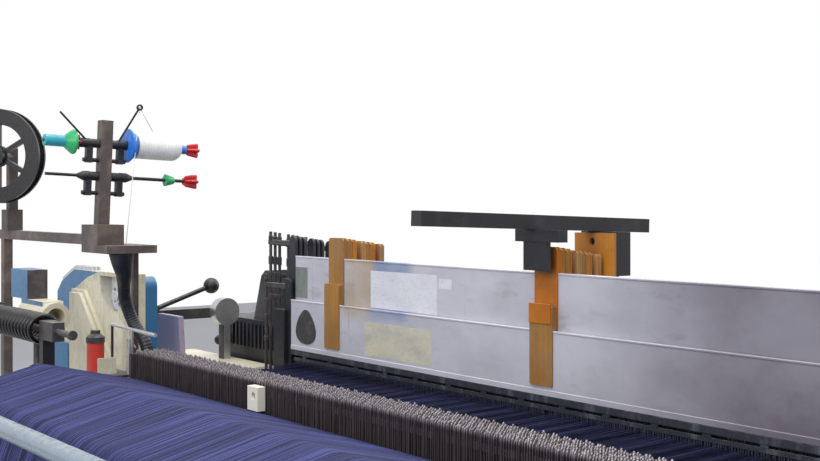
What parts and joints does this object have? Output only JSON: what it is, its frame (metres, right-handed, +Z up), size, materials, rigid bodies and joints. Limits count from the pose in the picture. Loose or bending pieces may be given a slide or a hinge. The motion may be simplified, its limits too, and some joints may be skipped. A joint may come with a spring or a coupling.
{
  "type": "power loom",
  "caption": "Wide rapier loom for denim with warp beam, back rest, dropper bank, heald frames, sley and reed, cloth roll, drive housings and selvedge creel.",
  "frame": {"origin": "on the floor, at the middle of the loom's length and depth", "axes": "+X across the cloth to the right as seen from the warp side, +Y from the warp beam to the cloth, +Z up"},
  "size_m": [4.36, 1.9198, 1.831],
  "materials": {
    "frame_paint": "satin, worn",
    "dark_paint": "satin, worn",
    "black_paint": "satin, worn",
    "cream_paint": "gloss, dusty",
    "cabinet_paint": "satin",
    "blue_paint": "satin, dusty",
    "bare_steel": "satin",
    "roller_chrome": "polished",
    "guard_paint": "gloss",
    "cast_parts": "as cast",
    "flange_alloy": "machined",
    "stave_alloy": "satin, stained",
    "sley_alloy": "satin",
    "spring_steel": "gloss black",
    "dropper_steel": "dull",
    "warp_yarn": "indigo warp yarn",
    "denim": "denim twill",
    "yarn_package": "wound yarn",
    "cream_plastic": "matt",
    "orange_plastic": "matt, worn",
    "black_plastic": "gloss",
    "hose_rubber": "ribbed",
    "red_can": "gloss"
  },
  "bodies": {
    "loom": {"left_side_frame": "frame_paint", "right_side_frame": "frame_paint", "cross_tubes": "frame_paint", "floor_feet": "dark_paint", "beam_bearings": "cast_parts", "let_off_motor": "dark_paint", "back_rest_brackets": "dark_paint", "guard_tube": "guard_paint", "tie_rod": "dark_paint", "coil_spring": "spring_steel", "rear_warp_sheet": "warp_yarn", "dropper_rails": "bare_steel", "droppers": "dropper_steel", "dropper_separator": "cream_plastic", "heald_guides": "black_paint", "shed_yarns": "warp_yarn", "centre_arm": "black_paint", "centre_stand": "black_paint", "centre_pads": "orange_plastic", "breast_beam": "sley_alloy", "cloth_sheet": "denim", "left_drive_housing": "cream_paint", "blue_covers": "blue_paint", "right_drive_housing": "cream_paint", "rapier_housings": "cream_paint", "shed_drive_housing": "black_paint", "lever_stand": "dark_paint", "control_cabinet": "cabinet_paint", "temples": "bare_steel", "creel_frame": "dark_paint", "suction_hose": "hose_rubber", "yarn_packages": "yarn_package", "lubricator": "red_can", "weft_feeder": "cream_paint"},
    "warp_beam": {"warp_beam_barrel": "bare_steel", "warp_beam_flanges": "flange_alloy", "wound_warp": "warp_yarn", "beam_gear": "cast_parts"},
    "let_off_pinion": {"let_off_pinion": "bare_steel"},
    "deflection_roller": {"deflection_roller": "roller_chrome"},
    "back_rest": {"back_rest_arms": "dark_paint"},
    "whip_roller": {"whip_roller": "roller_chrome"},
    "sley": {"sley": "sley_alloy", "reed": "bare_steel"},
    "cloth_roll": {"cloth_roll": "denim"},
    "take_up_roller": {"take_up_roller": "cast_parts"},
    "press_roller": {"press_roller": "cast_parts"},
    "drive_disc": {"drive_disc": "bare_steel"},
    "ball_lever": {"ball_lever": "dark_paint"},
    "flanged_spool": {"flanged_spool": "black_plastic"},
    "heald_frame_01": {"heald_frame_01": "stave_alloy"},
    "heald_frame_02": {"heald_frame_02": "stave_alloy"},
    "heald_frame_03": {"heald_frame_03": "stave_alloy"},
    "heald_frame_04": {"heald_frame_04": "stave_alloy"},
    "heald_frame_05": {"heald_frame_05": "stave_alloy"},
    "heald_frame_06": {"heald_frame_06": "stave_alloy"},
    "heald_frame_07": {"heald_frame_07": "stave_alloy"},
    "heald_frame_08": {"heald_frame_08": "stave_alloy"},
    "heald_frame_09": {"heald_frame_09": "stave_alloy"},
    "heald_frame_10": {"heald_frame_10": "stave_alloy"}
  },
  "joints": [
    {"name": "warp_beam_turn", "type": "hinge", "parent": "loom", "child": "warp_beam", "pos_m": [0, -0.56, 0.45], "axis": [1, 0, 0], "continuous": true},
    {"name": "let_off_turn", "type": "hinge", "parent": "loom", "child": "let_off_pinion", "pos_m": [0, -0.3405, 0.33329], "axis": [1, 0, 0], "continuous": true},
    {"name": "deflection_turn", "type": "hinge", "parent": "loom", "child": "deflection_roller", "pos_m": [0, -0.631, 1], "axis": [1, 0, 0], "continuous": true},
    {"name": "back_rest_rock", "type": "hinge", "parent": "loom", "child": "back_rest", "pos_m": [0, -0.38, 0.985], "axis": [1, 0, 0], "range_deg": [-4, 4], "deforming": ["rear_warp_sheet"]},
    {"name": "whip_turn", "type": "hinge", "parent": "back_rest", "child": "whip_roller", "pos_m": [0, -0.447, 1.028], "axis": [1, 0, 0], "continuous": true},
    {"name": "heald_lift_01", "type": "slide", "parent": "loom", "child": "heald_frame_01", "axis": [0, 0, 1], "range_m": [0, 0.136], "deforming": ["shed_yarns"]},
    {"name": "heald_lift_02", "type": "slide", "parent": "loom", "child": "heald_frame_02", "axis": [0, 0, 1], "range_m": [-0.131, 0], "deforming": ["shed_yarns"]},
    {"name": "heald_lift_03", "type": "slide", "parent": "loom", "child": "heald_frame_03", "axis": [0, 0, 1], "range_m": [-0.1262, 0], "deforming": ["shed_yarns"]},
    {"name": "heald_lift_04", "type": "slide", "parent": "loom", "child": "heald_frame_04", "axis": [0, 0, 1], "range_m": [-0.1212, 0], "deforming": ["shed_yarns"]},
    {"name": "heald_lift_05", "type": "slide", "parent": "loom", "child": "heald_frame_05", "axis": [0, 0, 1], "range_m": [0, 0.1162], "deforming": ["shed_yarns"]},
    {"name": "heald_lift_06", "type": "slide", "parent": "loom", "child": "heald_frame_06", "axis": [0, 0, 1], "range_m": [-0.1112, 0], "deforming": ["shed_yarns"]},
    {"name": "heald_lift_07", "type": "slide", "parent": "loom", "child": "heald_frame_07", "axis": [0, 0, 1], "range_m": [-0.1064, 0], "deforming": ["shed_yarns"]},
    {"name": "heald_lift_08", "type": "slide", "parent": "loom", "child": "heald_frame_08", "axis": [0, 0, 1], "range_m": [-0.1014, 0], "deforming": ["shed_yarns"]},
    {"name": "heald_lift_09", "type": "slide", "parent": "loom", "child": "heald_frame_09", "axis": [0, 0, 1], "range_m": [0, 0.0964], "deforming": ["shed_yarns"]},
    {"name": "heald_lift_10", "type": "slide", "parent": "loom", "child": "heald_frame_10", "axis": [0, 0, 1], "range_m": [-0.0914, 0], "deforming": ["shed_yarns"]},
    {"name": "sley_beat", "type": "hinge", "parent": "loom", "child": "sley", "pos_m": [0, 0.5, 0.5], "axis": [-1, 0, 0], "range_deg": [0, 9]},
    {"name": "cloth_roll_turn", "type": "hinge", "parent": "loom", "child": "cloth_roll", "pos_m": [0, 0.78, 0.33], "axis": [1, 0, 0], "continuous": true},
    {"name": "take_up_turn", "type": "hinge", "parent": "loom", "child": "take_up_roller", "pos_m": [0, 0.903, 0.77], "axis": [1, 0, 0], "continuous": true},
    {"name": "press_turn", "type": "hinge", "parent": "loom", "child": "press_roller", "pos_m": [0, 0.8152, 0.782], "axis": [1, 0, 0], "continuous": true},
    {"name": "drive_disc_turn", "type": "hinge", "parent": "loom", "child": "drive_disc", "pos_m": [-1.52, 0, 1.228], "axis": [0, 1, 0], "continuous": true},
    {"name": "ball_lever_turn", "type": "hinge", "parent": "loom", "child": "ball_lever", "pos_m": [-1.638, 0.139, 1.166], "axis": [1, 0, 0], "range_deg": [-5, 25]},
    {"name": "spool_turn", "type": "hinge", "parent": "loom", "child": "flanged_spool", "pos_m": [-1.94, -0.275, 1.675], "axis": [-0.6728, 0.7398, 0], "continuous": true}
  ],
  "couplings": [
    {"joint": "let_off_turn", "follows": "warp_beam_turn", "ratio": -4.1667},
    {"joint": "take_up_turn", "follows": "cloth_roll_turn", "ratio": -2.7273},
    {"joint": "press_turn", "follows": "cloth_roll_turn", "ratio": 5}
  ]
}
